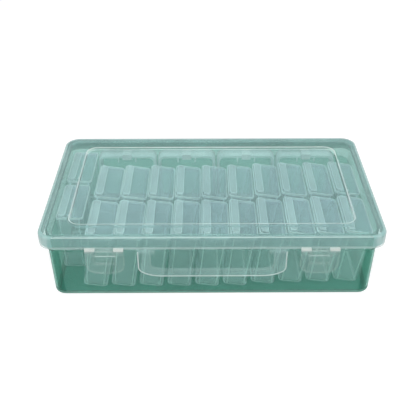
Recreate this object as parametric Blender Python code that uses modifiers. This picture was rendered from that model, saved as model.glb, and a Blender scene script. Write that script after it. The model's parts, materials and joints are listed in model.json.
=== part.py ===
"""Compartment organizer box: a translucent carrying case with a hinged lid, two latches and a
drop handle, holding 22 small flip-top boxes and 4 tall snap boxes.

Metres, +Z up. The origin is at the centre of the tub's underside, +X runs to the right of
someone who faces the latches, and the latches and the handle are on the -Y side.
"""
import math

import bmesh
import bpy
from mathutils import Matrix, Vector

# Case as a whole
CASE_WIDTH = 0.300
CASE_DEPTH = 0.175
CASE_HEIGHT = 0.0685
CLEARANCE = 0.0003
OVERRUN = 0.0020
SAME = 0.000001

# Tub
TUB_INSET = 0.0056
TUB_DRAFT = 0.0014
TUB_WALL = 0.0016
TUB_CORNER_RADIUS = 0.0110
TUB_FOOT_RADIUS = 0.0016
BEAD_PROUD = 0.0010
BEAD_ROOT = 0.0010
BEAD_HEIGHT = 0.0014
BEAD_BELOW_SKIRT = 0.0058

# Case lid
LID_WALL = 0.0016
LID_SKIRT = 0.0127
LID_CORNER_RADIUS = 0.0130
LID_EDGE_RADIUS = 0.0022
RECESS_SIDE_INSET = 0.0245
RECESS_END_INSET = 0.0205
RECESS_DEPTH = 0.0025
RECESS_RADIUS = 0.0100
RIB_WALL = 0.0012
RIB_DEPTH = 0.0050
RIB_CLEARANCE = 0.0006

# Rear hinge
HINGE_FROM_END = 0.0600
KNUCKLE_RADIUS = 0.0026
KNUCKLE_CLEARANCE = 0.0005
HINGE_PIN_RADIUS = 0.0012
LID_KNUCKLE_LENGTH = 0.0132
TUB_KNUCKLE_LENGTH = 0.0080
KNUCKLE_SIDE_GAP = 0.0004
KNUCKLE_BEHIND_SKIRT = 0.0005
KNUCKLE_ARM_HEIGHT = 0.0034
KNUCKLE_WEB_DEPTH = 0.0022
KNUCKLE_WEB_RISE = 0.0024
PIN_HEAD_RADIUS = 0.0020
PIN_HEAD_LENGTH = 0.0014

# Latches
LATCH_FROM_END = 0.0575
LATCH_WIDTH = 0.0332
LATCH_LENGTH = 0.0249
LATCH_BOW = 0.0105
LATCH_BOW_POWER = 2.7
LATCH_THICKNESS = 0.0020
LATCH_BACK = 0.0015
LATCH_NECK_WIDTH = 0.0150
LATCH_NECK_LENGTH = 0.0045
LATCH_BARREL_RADIUS = 0.0017
LATCH_PIN_RADIUS = 0.0010
LATCH_PIN_LENGTH = 0.0045
LATCH_EAR_HEIGHT = 0.0039
LATCH_EAR_DEPTH = 0.0037
LATCH_EAR_GAP = 0.0004
LATCH_WINDOW_WIDTH = 0.0184
LATCH_WINDOW_HEIGHT = 0.0066
CATCH_WIDTH = 0.0172
CATCH_HEIGHT = 0.0058
CATCH_BELOW_PIVOT = 0.0096
CATCH_POCKET_WIDTH = 0.0112
CATCH_POCKET_HEIGHT = 0.0024
CATCH_POCKET_DEPTH = 0.0015

# Carry handle
HANDLE_TO_LATCH = 0.0113
HANDLE_LEG_WIDTH = 0.0113
HANDLE_BAR_HEIGHT = 0.0070
HANDLE_DROP = 0.0267
HANDLE_THICKNESS = 0.0034
HANDLE_OUTER_CORNER_WIDTH = 0.0210
HANDLE_OUTER_CORNER_HEIGHT = 0.0098
HANDLE_INNER_CORNER_WIDTH = 0.0120
HANDLE_INNER_CORNER_HEIGHT = 0.0048
HANDLE_BARREL_RADIUS = 0.0022
HANDLE_PIN_RADIUS = 0.0010
HANDLE_PIN_LENGTH = 0.0030
HANDLE_EAR_THICKNESS = 0.0035
HANDLE_EAR_GAP = 0.0004
HANDLE_EAR_HEIGHT = 0.0048
HANDLE_BELOW_SKIRT = 0.0033
PIVOT_CLEARANCE = 0.0003

# Small flip-top boxes
BOX_SIDE_GAP = 0.00036
BOX_SIDE_DRAFT = 0.0014
BOX_END_DRAFT = 0.0006
BOX_HEADROOM = 0.0087
BOX_WALL = 0.0011
BOX_CORNER_RADIUS = 0.0038
BOX_FOOT_RADIUS = 0.0018
BOX_LID_THICKNESS = 0.0014
BOX_PLUG_WALL = 0.0009
BOX_PLUG_DEPTH = 0.0035
BOX_PLUG_CLEARANCE = 0.0004
FLIP_WIDTH = 0.0072
FLIP_HEIGHT = 0.0014
FLIP_SIDE_INSET = 0.0012
FLIP_NEAR_INSET = 0.0030
FLIP_FAR_INSET = 0.0014
POST_WIDTH = 0.0012
POST_DEPTH = 0.0018
POST_HEIGHT = 0.0022
POST_PITCH = 0.0046

# Small box layout
ROW_COUNT = 10
ROW_SPARE = 0.0068
ROW_LEAN = math.radians(8.0)
ROW_WALL_GAP = 0.0003
ROW_BACK = 0.0062
ROW_BACK_SHARES = (0.0, 0.0, 0.0, 0.0, 0.0, 0.1, 0.5, 0.75, 0.85, 1.0)
FRONT_ROW_SETBACK = 0.0067
ROW_GAP = 0.0064
END_SETBACK = 0.0365
END_GAP = 0.0066

# Tall snap boxes
TALL_COUNT = 4
TALL_SPARE = 0.0154
TALL_HEADROOM = 0.0035
TALL_FRONT_GAP = 0.0162
TALL_BODY_DEPTH = 0.0092
TALL_LID_DEPTH = 0.0062
TALL_DRAFT = 0.0006
TALL_CORNER_RADIUS = 0.0052
TALL_FACE_RADIUS = 0.0010
TALL_WALL = 0.0012
TALL_GAP = 0.0010
TALL_END_GAP = 0.0006
TALL_REAR_GAP = 0.0006
SNAP_WIDTH = 0.0094
SNAP_HEIGHT = 0.0012
SNAP_REACH = 0.0046
SNAP_DROP = 0.0046
SNAP_PROUD = 0.0010
RAIL_PITCH = 0.0176
RAIL_WIDTH = 0.0012
RAIL_PROUD = 0.0010
RAIL_HEIGHT = 0.0052
RAIL_BELOW_TOP = 0.0022

# Facet counts
CASE_CORNER_SEGMENTS = 5
BOX_CORNER_SEGMENTS = 2
TALL_CORNER_SEGMENTS = 4
EDGE_SEGMENTS = 2
BARREL_SIDES = 16
PIN_SIDES = 10
ARC_STEPS = 6

# Places that follow from the sizes
HALF_WIDTH = CASE_WIDTH / 2
HALF_DEPTH = CASE_DEPTH / 2
LID_UNDERSIDE = CASE_HEIGHT - LID_WALL
SKIRT_BOTTOM = CASE_HEIGHT - LID_SKIRT
TUB_TOP = LID_UNDERSIDE - CLEARANCE
TUB_TOP_WIDTH = CASE_WIDTH - 2 * TUB_INSET
TUB_TOP_DEPTH = CASE_DEPTH - 2 * TUB_INSET
TUB_FRONT = -TUB_TOP_DEPTH / 2
TUB_REAR = TUB_TOP_DEPTH / 2
HINGE_Y = HALF_DEPTH + KNUCKLE_BEHIND_SKIRT
HINGE_Z = SKIRT_BOTTOM - KNUCKLE_RADIUS - KNUCKLE_CLEARANCE
HINGE_OFFSET = HALF_WIDTH - HINGE_FROM_END
LATCH_OFFSET = HALF_WIDTH - LATCH_FROM_END
LATCH_Y = -HALF_DEPTH - LATCH_BARREL_RADIUS - LATCH_EAR_GAP
LATCH_Z = SKIRT_BOTTOM
HANDLE_WIDTH = 2 * (LATCH_OFFSET - LATCH_WIDTH / 2 - HANDLE_TO_LATCH)
HANDLE_Y = TUB_FRONT - BEAD_PROUD - PIVOT_CLEARANCE - HANDLE_BARREL_RADIUS
HANDLE_Z = SKIRT_BOTTOM - HANDLE_BELOW_SKIRT
FLOOR = TUB_WALL + CLEARANCE
INNER_WIDTH = TUB_TOP_WIDTH - 2 * TUB_WALL
INNER_DEPTH = TUB_TOP_DEPTH - 2 * TUB_WALL
INNER_HEIGHT = LID_UNDERSIDE - RECESS_DEPTH - FLOOR
ROW_PITCH = (INNER_WIDTH - ROW_SPARE + BOX_SIDE_GAP) / (ROW_COUNT + math.cos(ROW_LEAN))
BOX_TOP_WIDTH = ROW_PITCH * math.cos(ROW_LEAN) - BOX_SIDE_GAP
BOX_BOTTOM_WIDTH = BOX_TOP_WIDTH - 2 * BOX_SIDE_DRAFT
BOX_BODY_HEIGHT = INNER_HEIGHT - BOX_HEADROOM
TALL_PITCH = (INNER_WIDTH - BOX_TOP_WIDTH - TALL_END_GAP - TALL_SPARE) / TALL_COUNT
TALL_WIDTH = TALL_PITCH - TALL_GAP
TALL_HEIGHT = INNER_HEIGHT - TALL_HEADROOM
TALL_STACK = TALL_BODY_DEPTH + CLEARANCE + TALL_LID_DEPTH + TUB_DRAFT + TALL_REAR_GAP
ROW_DEPTH = INNER_DEPTH - FRONT_ROW_SETBACK - TALL_FRONT_GAP - SNAP_PROUD - TALL_STACK
BOX_TOP_LENGTH = (ROW_DEPTH - ROW_GAP) / 2
BOX_BOTTOM_LENGTH = BOX_TOP_LENGTH - 2 * BOX_END_DRAFT


def draft_at(height):
    """How far the tub's outer wall stands in from its top outline at a height."""
    return TUB_DRAFT * (TUB_TOP - height) / TUB_TOP


def remove_scene_objects():
    for thing in list(bpy.data.objects):
        bpy.data.objects.remove(thing, do_unlink=True)


def new_collection(name):
    group = bpy.data.collections.new(name)
    bpy.context.scene.collection.children.link(group)
    return group


def plastic(name, colour, roughness, alpha):
    """A Principled plastic, with an alpha for the share of it that is seen."""
    finish = bpy.data.materials.new(name)
    finish.use_nodes = True
    shader = finish.node_tree.nodes["Principled BSDF"]
    shader.inputs["Base Color"].default_value = (*colour, 1.0)
    shader.inputs["Roughness"].default_value = roughness
    shader.inputs["Metallic"].default_value = 0.0
    shader.inputs["Alpha"].default_value = alpha
    return finish


def mesh_from(shape, name):
    """Turns a bmesh into a mesh with outward faces, smooth but for its sharp edges."""
    bmesh.ops.recalc_face_normals(shape, faces=shape.faces)
    mesh = bpy.data.meshes.new(name)
    shape.to_mesh(mesh)
    shape.free()
    mesh.shade_smooth()
    mesh.set_sharp_from_angle(angle=math.radians(35.0))
    return mesh


def piece(name, mesh, finish, group, origin=(0.0, 0.0, 0.0)):
    """A part of the object, with its origin at a point of the world."""
    thing = bpy.data.objects.new(name, mesh)
    thing.location = origin
    if not mesh.materials:
        mesh.materials.append(finish)
    group.objects.link(thing)
    return thing


def tool(name, shape, group, origin=(0.0, 0.0, 0.0)):
    """A hidden operand of a Boolean modifier."""
    thing = bpy.data.objects.new(name, mesh_from(shape, name))
    thing.location = origin
    thing.hide_render = True
    thing.display_type = "WIRE"
    group.objects.link(thing)
    return thing


def boolean(thing, operand, operation):
    step = thing.modifiers.new(operation.lower() + " " + operand.name, "BOOLEAN")
    step.operation = operation
    step.solver = "EXACT"
    step.object = operand


def hollow(thing, wall):
    """Gives an open surface a wall that grows inwards."""
    step = thing.modifiers.new("wall", "SOLIDIFY")
    step.thickness = wall
    step.offset = -1.0
    step.use_even_offset = True


def block(width, depth, height, centre=(0.0, 0.0), base=0.0, radius=0.0, segments=1):
    """A box that stands on base, with its upright edges rounded."""
    shape = bmesh.new()
    size = Matrix.Diagonal((width, depth, height, 1.0))
    place = Matrix.Translation((centre[0], centre[1], base + height / 2))
    bmesh.ops.create_cube(shape, size=1.0, matrix=place @ size)
    if radius > 0.0:
        upright = [e for e in shape.edges if abs(e.verts[0].co.z - e.verts[1].co.z) > SAME]
        round_edges(shape, upright, radius, segments)
    return shape


def round_edges(shape, edges, radius, segments):
    bmesh.ops.bevel(
        shape, geom=edges, offset=radius, offset_type="OFFSET", segments=segments,
        profile=0.5, affect="EDGES", clamp_overlap=False,
    )


def edges_at(shape, height):
    return [e for e in shape.edges if all(abs(v.co.z - height) < SAME for v in e.verts)]


def face_at(shape, height):
    return [f for f in shape.faces if all(abs(v.co.z - height) < SAME for v in f.verts)]


def drafted_block(top, bottom, height, radius, foot_radius, corner_segments):
    """A block that narrows from its top outline to its bottom outline, with a rounded foot."""
    shape = block(top[0], top[1], height, radius=radius, segments=corner_segments)
    for vertex in shape.verts:
        if vertex.co.z < height / 2:
            vertex.co.x *= bottom[0] / top[0]
            vertex.co.y *= bottom[1] / top[1]
    round_edges(shape, edges_at(shape, 0.0), foot_radius, EDGE_SEGMENTS)
    return shape


def open_top(shape, height):
    bmesh.ops.delete(shape, geom=face_at(shape, height), context="FACES")
    return shape


def barrel(radius, length, centre, sides):
    """A cylinder along X."""
    shape = bmesh.new()
    place = Matrix.Translation(centre) @ Matrix.Rotation(math.radians(90.0), 4, "Y")
    bmesh.ops.create_cone(
        shape, cap_ends=True, segments=sides, radius1=radius, radius2=radius,
        depth=length, matrix=place,
    )
    return shape


def gather(shapes):
    """Several shapes that don't touch, as the bodies of one bmesh."""
    whole = bmesh.new()
    for shape in shapes:
        part = bpy.data.meshes.new("gathered")
        shape.to_mesh(part)
        shape.free()
        whole.from_mesh(part)
        bpy.data.meshes.remove(part)
    return whole


def on_both_sides(make, offset):
    """The same shape at -offset and +offset along X."""
    return gather([make(-offset), make(offset)])


def flat_plate(outlines, thickness, middle_y):
    """Flat outlines in X and Z, filled and given a thickness along Y."""
    curve = bpy.data.curves.new("outline", "CURVE")
    curve.dimensions = "2D"
    curve.fill_mode = "BOTH"
    curve.extrude = thickness / 2
    for outline in outlines:
        spline = curve.splines.new("POLY")
        spline.points.add(len(outline) - 1)
        spline.use_cyclic_u = True
        for point, (x, z) in zip(spline.points, outline):
            point.co = (x, z, 0.0, 1.0)
    holder = bpy.data.objects.new("outline", curve)
    bpy.context.scene.collection.objects.link(holder)
    evaluated = holder.evaluated_get(bpy.context.evaluated_depsgraph_get())
    mesh = bpy.data.meshes.new_from_object(evaluated)
    shape = bmesh.new()
    shape.from_mesh(mesh)
    bmesh.ops.remove_doubles(shape, verts=shape.verts, dist=SAME)
    stand = Matrix.Translation((0.0, middle_y, 0.0)) @ Matrix.Rotation(math.radians(90.0), 4, "X")
    bmesh.ops.transform(shape, matrix=stand, verts=shape.verts)
    bpy.data.objects.remove(holder, do_unlink=True)
    bpy.data.meshes.remove(mesh)
    return shape


def quarter(centre_x, centre_z, reach_x, reach_z, start):
    """A quarter ellipse of ARC_STEPS steps, anticlockwise from start quarters."""
    angles = [math.radians(90.0) * (start + step / ARC_STEPS) for step in range(ARC_STEPS + 1)]
    return [
        (centre_x + reach_x * math.cos(a), centre_z + reach_z * math.sin(a)) for a in angles
    ]


def rectangle(width, height, centre_z):
    """A rectangle's outline, clockwise from its upper right corner."""
    x, z = width / 2, height / 2
    return [(x, centre_z + z), (x, centre_z - z), (-x, centre_z - z), (-x, centre_z + z)]


def tub(finish, group, tools):
    """The open lower shell, with its stop bead, handle ears, catches and hinge knuckles."""
    top = (TUB_TOP_WIDTH, TUB_TOP_DEPTH)
    bottom = (TUB_TOP_WIDTH - 2 * TUB_DRAFT, TUB_TOP_DEPTH - 2 * TUB_DRAFT)
    shell = drafted_block(
        top, bottom, TUB_TOP, TUB_CORNER_RADIUS, TUB_FOOT_RADIUS, CASE_CORNER_SEGMENTS
    )
    thing = piece("tub", mesh_from(open_top(shell, TUB_TOP), "tub"), finish, group)
    hollow(thing, TUB_WALL)
    boolean(thing, stop_bead(tools), "UNION")
    boolean(thing, tool("catch lugs", on_both_sides(catch_lug, LATCH_OFFSET), tools), "UNION")
    pockets = on_both_sides(catch_pocket, LATCH_OFFSET)
    boolean(thing, tool("catch pockets", pockets, tools), "DIFFERENCE")
    ear_middle = HANDLE_WIDTH / 2 - HANDLE_LEG_WIDTH - HANDLE_EAR_GAP - HANDLE_EAR_THICKNESS / 2
    boolean(thing, tool("handle ears", on_both_sides(handle_ear, ear_middle), tools), "UNION")
    bore = barrel(
        HANDLE_PIN_RADIUS + PIVOT_CLEARANCE, HANDLE_WIDTH, (0.0, HANDLE_Y, HANDLE_Z), PIN_SIDES
    )
    boolean(thing, tool("handle bore", bore, tools), "DIFFERENCE")
    places = [
        side * HINGE_OFFSET + end * (LID_KNUCKLE_LENGTH / 2 + KNUCKLE_SIDE_GAP + TUB_KNUCKLE_LENGTH / 2)
        for side in (-1, 1)
        for end in (-1, 1)
    ]
    arms = tool("knuckle arms", gather([knuckle_arm(x) for x in places]), tools)
    barrels = [
        barrel(KNUCKLE_RADIUS, TUB_KNUCKLE_LENGTH, (x, HINGE_Y, HINGE_Z), BARREL_SIDES)
        for x in places
    ]
    boolean(thing, arms, "UNION")
    boolean(thing, tool("tub knuckles", gather(barrels), tools), "UNION")
    boolean(thing, hinge_bores("tub hinge bores", tools), "DIFFERENCE")
    return thing


def stop_bead(tools):
    """A ring round the tub just under the lid's skirt."""
    base = SKIRT_BOTTOM - BEAD_BELOW_SKIRT - BEAD_HEIGHT
    inset = draft_at(base)
    outer = block(
        TUB_TOP_WIDTH + 2 * (BEAD_PROUD - inset), TUB_TOP_DEPTH + 2 * (BEAD_PROUD - inset),
        BEAD_HEIGHT, base=base, radius=TUB_CORNER_RADIUS + BEAD_PROUD,
        segments=CASE_CORNER_SEGMENTS,
    )
    inner = block(
        TUB_TOP_WIDTH - 2 * (BEAD_ROOT + inset), TUB_TOP_DEPTH - 2 * (BEAD_ROOT + inset),
        BEAD_HEIGHT + 2 * OVERRUN, base=base - OVERRUN, radius=TUB_CORNER_RADIUS - BEAD_ROOT,
        segments=CASE_CORNER_SEGMENTS,
    )
    ring = tool("stop bead", outer, tools)
    boolean(ring, tool("stop bead hole", inner, tools), "DIFFERENCE")
    return ring


def catch_lug(x):
    """The nose that the latch closes over: it ends just behind the latch."""
    nose = LATCH_Y + LATCH_BACK + CLEARANCE
    root = TUB_FRONT + TUB_DRAFT
    return block(
        CATCH_WIDTH, root - nose, CATCH_HEIGHT, centre=(x, (root + nose) / 2),
        base=LATCH_Z - CATCH_BELOW_PIVOT - CATCH_HEIGHT / 2,
    )


def catch_pocket(x):
    nose = LATCH_Y + LATCH_BACK + CLEARANCE
    return block(
        CATCH_POCKET_WIDTH, 2 * CATCH_POCKET_DEPTH, CATCH_POCKET_HEIGHT, centre=(x, nose),
        base=LATCH_Z - CATCH_BELOW_PIVOT - CATCH_POCKET_HEIGHT / 2,
    )


def handle_ear(x):
    """The lug that carries one of the handle's pins."""
    root = TUB_FRONT + TUB_DRAFT
    face = HANDLE_Y - HANDLE_BARREL_RADIUS
    return block(
        HANDLE_EAR_THICKNESS, root - face, HANDLE_EAR_HEIGHT, centre=(x, (root + face) / 2),
        base=HANDLE_Z - HANDLE_EAR_HEIGHT / 2,
    )


def knuckle_arm(x):
    """The bracket between the tub's rear wall and one of its hinge knuckles."""
    root = TUB_REAR - TUB_DRAFT
    return block(
        TUB_KNUCKLE_LENGTH, HINGE_Y - root, KNUCKLE_ARM_HEIGHT,
        centre=(x, (HINGE_Y + root) / 2), base=HINGE_Z - KNUCKLE_ARM_HEIGHT / 2,
    )


def hinge_bores(name, tools):
    length = LID_KNUCKLE_LENGTH + 2 * (KNUCKLE_SIDE_GAP + TUB_KNUCKLE_LENGTH + OVERRUN)
    radius = HINGE_PIN_RADIUS + PIVOT_CLEARANCE
    bores = [
        barrel(radius, length, (side * HINGE_OFFSET, HINGE_Y, HINGE_Z), PIN_SIDES)
        for side in (-1, 1)
    ]
    return tool(name, gather(bores), tools)


def case_lid(finish, group, tools):
    """The cover: a skirted plate with a sunk panel, latch ears and hinge knuckles."""
    shell = block(
        CASE_WIDTH, CASE_DEPTH, LID_SKIRT, base=SKIRT_BOTTOM,
        radius=LID_CORNER_RADIUS, segments=CASE_CORNER_SEGMENTS,
    )
    round_edges(shell, edges_at(shell, CASE_HEIGHT), LID_EDGE_RADIUS, EDGE_SEGMENTS)
    hinge = Vector((0.0, HINGE_Y, HINGE_Z))
    bmesh.ops.translate(shell, vec=-hinge, verts=shell.verts)
    thing = piece("case_lid", mesh_from(shell, "case_lid"), finish, group, origin=hinge)
    recess_width = CASE_WIDTH - 2 * RECESS_SIDE_INSET
    recess_depth = CASE_DEPTH - 2 * RECESS_END_INSET
    recess = block(
        recess_width, recess_depth, RECESS_DEPTH + OVERRUN, base=CASE_HEIGHT - RECESS_DEPTH,
        radius=RECESS_RADIUS, segments=CASE_CORNER_SEGMENTS,
    )
    boolean(thing, tool("lid recess", recess, tools), "DIFFERENCE")
    boolean(thing, lid_cavity(recess_width, recess_depth, tools), "DIFFERENCE")
    boolean(thing, locating_rib(tools), "UNION")
    ear_middle = (LATCH_NECK_WIDTH / 2 + LATCH_EAR_GAP + LATCH_WIDTH / 2) / 2
    ears = [latch_ear(s * LATCH_OFFSET + e * ear_middle) for s in (-1, 1) for e in (-1, 1)]
    boolean(thing, tool("latch ears", gather(ears), tools), "UNION")
    bores = [
        barrel(
            LATCH_PIN_RADIUS + PIVOT_CLEARANCE,
            LATCH_NECK_WIDTH + 2 * (LATCH_PIN_LENGTH + PIVOT_CLEARANCE),
            (side * LATCH_OFFSET, LATCH_Y, LATCH_Z), PIN_SIDES,
        )
        for side in (-1, 1)
    ]
    boolean(thing, tool("latch bores", gather(bores), tools), "DIFFERENCE")
    webs = on_both_sides(knuckle_web, HINGE_OFFSET)
    boolean(thing, tool("knuckle webs", webs, tools), "UNION")
    barrels = [
        barrel(
            KNUCKLE_RADIUS, LID_KNUCKLE_LENGTH, (side * HINGE_OFFSET, HINGE_Y, HINGE_Z),
            BARREL_SIDES,
        )
        for side in (-1, 1)
    ]
    boolean(thing, tool("lid knuckles", gather(barrels), tools), "UNION")
    boolean(thing, hinge_bores("lid hinge bores", tools), "DIFFERENCE")
    return thing


def lid_cavity(recess_width, recess_depth, tools):
    """The hollow under the lid, which follows the sunk panel."""
    cavity = block(
        CASE_WIDTH - 2 * LID_WALL, CASE_DEPTH - 2 * LID_WALL,
        LID_SKIRT - LID_WALL + OVERRUN, base=SKIRT_BOTTOM - OVERRUN,
        radius=LID_CORNER_RADIUS - LID_WALL, segments=CASE_CORNER_SEGMENTS,
    )
    sunk = block(
        recess_width + 2 * LID_WALL, recess_depth + 2 * LID_WALL,
        RECESS_DEPTH + OVERRUN, base=LID_UNDERSIDE - RECESS_DEPTH,
        radius=RECESS_RADIUS + LID_WALL, segments=CASE_CORNER_SEGMENTS,
    )
    hollow_shape = tool("lid cavity", cavity, tools)
    boolean(hollow_shape, tool("sunk panel", sunk, tools), "DIFFERENCE")
    return hollow_shape


def locating_rib(tools):
    """The ring under the lid that drops outside the tub's rim."""
    inner_width = TUB_TOP_WIDTH + 2 * RIB_CLEARANCE
    inner_depth = TUB_TOP_DEPTH + 2 * RIB_CLEARANCE
    base = LID_UNDERSIDE - RIB_DEPTH
    outer = block(
        inner_width + 2 * RIB_WALL, inner_depth + 2 * RIB_WALL, RIB_DEPTH + LID_WALL / 2,
        base=base, radius=TUB_CORNER_RADIUS + RIB_CLEARANCE + RIB_WALL,
        segments=CASE_CORNER_SEGMENTS,
    )
    inner = block(
        inner_width, inner_depth, RIB_DEPTH + LID_WALL + OVERRUN, base=base - OVERRUN,
        radius=TUB_CORNER_RADIUS + RIB_CLEARANCE, segments=CASE_CORNER_SEGMENTS,
    )
    ring = tool("locating rib", outer, tools)
    boolean(ring, tool("locating rib hole", inner, tools), "DIFFERENCE")
    return ring


def latch_ear(x):
    """One of the two blocks that hold a latch's pins."""
    width = LATCH_WIDTH / 2 - LATCH_NECK_WIDTH / 2 - LATCH_EAR_GAP
    root = -HALF_DEPTH + LID_WALL / 2
    face = -HALF_DEPTH - LATCH_EAR_DEPTH
    return block(
        width, root - face, LATCH_EAR_HEIGHT, centre=(x, (root + face) / 2),
        base=LATCH_Z - LATCH_EAR_HEIGHT / 2,
    )


def knuckle_web(x):
    """The wall between the lid's skirt and one of its hinge knuckles."""
    rear = HALF_DEPTH + LID_WALL / 2
    return block(
        LID_KNUCKLE_LENGTH, KNUCKLE_WEB_DEPTH, SKIRT_BOTTOM + KNUCKLE_WEB_RISE - HINGE_Z,
        centre=(x, rear - KNUCKLE_WEB_DEPTH / 2), base=HINGE_Z,
    )


def hinge_pin(name, side, finish, group, tools):
    """A headed pin through one hinge, its head on the outer side."""
    length = LID_KNUCKLE_LENGTH + 2 * (KNUCKLE_SIDE_GAP + TUB_KNUCKLE_LENGTH)
    into_head = PIN_HEAD_LENGTH / 2
    shaft = barrel(
        HINGE_PIN_RADIUS, length + 2 * CLEARANCE + into_head, (side * into_head / 2, 0.0, 0.0),
        PIN_SIDES,
    )
    origin = (side * HINGE_OFFSET, HINGE_Y, HINGE_Z)
    thing = piece(name, mesh_from(shaft, name), finish, group, origin=origin)
    middle = side * (length / 2 + CLEARANCE + PIN_HEAD_LENGTH / 2)
    head = barrel(PIN_HEAD_RADIUS, PIN_HEAD_LENGTH, (middle, 0.0, 0.0), BARREL_SIDES)
    boolean(thing, tool(name + " head", head, tools, origin=origin), "UNION")
    return thing


def latch_outline():
    """A neck over a plate with a full, bowed lower edge, clockwise, in X and Z from the pivot."""
    neck, half = LATCH_NECK_WIDTH / 2, LATCH_WIDTH / 2
    bow_top = -(LATCH_LENGTH - LATCH_BOW)
    outline = [(-neck, 0.0), (neck, 0.0), (neck, -LATCH_NECK_LENGTH), (half, -LATCH_NECK_LENGTH)]
    steps = 4 * ARC_STEPS
    for step in range(steps + 1):
        angle = math.pi * step / steps
        across, down = math.cos(angle), math.sin(angle)
        x = half * math.copysign(abs(across) ** (2 / LATCH_BOW_POWER), across)
        z = bow_top - LATCH_BOW * abs(down) ** (2 / LATCH_BOW_POWER)
        outline.append((x, z))
    return outline + [(-half, -LATCH_NECK_LENGTH), (-neck, -LATCH_NECK_LENGTH)]


def latch(name, side, parent, finish, group, tools):
    """A swinging plate with a window over the catch and two stub pins."""
    window = rectangle(LATCH_WINDOW_WIDTH, LATCH_WINDOW_HEIGHT, -CATCH_BELOW_PIVOT)
    plate = flat_plate([latch_outline(), window], LATCH_THICKNESS, LATCH_BACK - LATCH_THICKNESS / 2)
    origin = Vector((side * LATCH_OFFSET, LATCH_Y, LATCH_Z))
    thing = piece(name, mesh_from(plate, name), finish, group, origin=origin)
    rod = barrel(LATCH_BARREL_RADIUS, LATCH_NECK_WIDTH, (0.0, 0.0, 0.0), BARREL_SIDES)
    pins = barrel(
        LATCH_PIN_RADIUS, LATCH_NECK_WIDTH + 2 * LATCH_PIN_LENGTH, (0.0, 0.0, 0.0), PIN_SIDES
    )
    boolean(thing, tool(name + " barrel", rod, tools, origin=origin), "UNION")
    boolean(thing, tool(name + " pins", pins, tools, origin=origin), "UNION")
    thing.parent = parent
    thing.location = origin - parent.location
    return thing


def handle_outline():
    """A broad U in X and Z, from the pivot line down: outer edge, then inner edge."""
    outer, inner = HANDLE_WIDTH / 2, HANDLE_WIDTH / 2 - HANDLE_LEG_WIDTH
    low, high = -HANDLE_DROP, -HANDLE_DROP + HANDLE_BAR_HEIGHT
    outer_x = outer - HANDLE_OUTER_CORNER_WIDTH
    outer_z = low + HANDLE_OUTER_CORNER_HEIGHT
    inner_x = inner - HANDLE_INNER_CORNER_WIDTH
    inner_z = high + HANDLE_INNER_CORNER_HEIGHT
    outer_size = (HANDLE_OUTER_CORNER_WIDTH, HANDLE_OUTER_CORNER_HEIGHT)
    inner_size = (HANDLE_INNER_CORNER_WIDTH, HANDLE_INNER_CORNER_HEIGHT)
    outside = [(-outer, 0.0)] + quarter(-outer_x, outer_z, *outer_size, 2)
    outside += quarter(outer_x, outer_z, *outer_size, 3) + [(outer, 0.0)]
    inside = [(-inner, 0.0)] + quarter(-inner_x, inner_z, *inner_size, 2)
    inside += quarter(inner_x, inner_z, *inner_size, 3) + [(inner, 0.0)]
    return outside + inside[::-1]


def carry_handle(finish, group, tools):
    """A flat U strap that hangs from two inward stub pins."""
    strap = flat_plate([handle_outline()], HANDLE_THICKNESS, 0.0)
    origin = (0.0, HANDLE_Y, HANDLE_Z)
    thing = piece("carry_handle", mesh_from(strap, "carry_handle"), finish, group, origin=origin)
    leg_middle = HANDLE_WIDTH / 2 - HANDLE_LEG_WIDTH / 2

    def eye(x):
        return barrel(HANDLE_BARREL_RADIUS, HANDLE_LEG_WIDTH, (x, 0.0, 0.0), BARREL_SIDES)

    def pin(x):
        return barrel(HANDLE_PIN_RADIUS, HANDLE_PIN_LENGTH + OVERRUN, (x, 0.0, 0.0), PIN_SIDES)

    eyes = on_both_sides(eye, leg_middle)
    pin_middle = leg_middle - HANDLE_LEG_WIDTH / 2 - (HANDLE_PIN_LENGTH - OVERRUN) / 2
    pins = on_both_sides(pin, pin_middle)
    boolean(thing, tool("handle eyes", eyes, tools, origin=origin), "UNION")
    boolean(thing, tool("handle pins", pins, tools, origin=origin), "UNION")
    return thing


def box_body_mesh():
    """The tapered cup of a small box, open at its top, its origin at the foot's centre."""
    shape = drafted_block(
        (BOX_TOP_WIDTH, BOX_TOP_LENGTH), (BOX_BOTTOM_WIDTH, BOX_BOTTOM_LENGTH),
        BOX_BODY_HEIGHT, BOX_CORNER_RADIUS, BOX_FOOT_RADIUS, BOX_CORNER_SEGMENTS,
    )
    return mesh_from(open_top(shape, BOX_BODY_HEIGHT), "small_box_body")


def sink_face(shape, face, inset, drop):
    """Insets a flat face and moves it along Z. Returns the moved face."""
    bmesh.ops.inset_region(shape, faces=[face], thickness=inset, use_even_offset=True)
    if abs(drop) > 0.0:
        moved = bmesh.ops.extrude_discrete_faces(shape, faces=[face])["faces"][0]
        bmesh.ops.translate(shape, vec=(0.0, 0.0, drop), verts=moved.verts)
        return moved
    return face


def box_lid_mesh():
    """The cap of a small box: a plate over a hollow plug."""
    base = BOX_BODY_HEIGHT + CLEARANCE
    shape = block(
        BOX_TOP_WIDTH, BOX_TOP_LENGTH, BOX_LID_THICKNESS, base=base,
        radius=BOX_CORNER_RADIUS, segments=BOX_CORNER_SEGMENTS,
    )
    under = face_at(shape, base)[0]
    plug = sink_face(shape, under, BOX_WALL + BOX_PLUG_CLEARANCE, -BOX_PLUG_DEPTH)
    sink_face(shape, plug, BOX_PLUG_WALL, BOX_PLUG_DEPTH)
    return mesh_from(shape, "small_box_lid")


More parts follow.
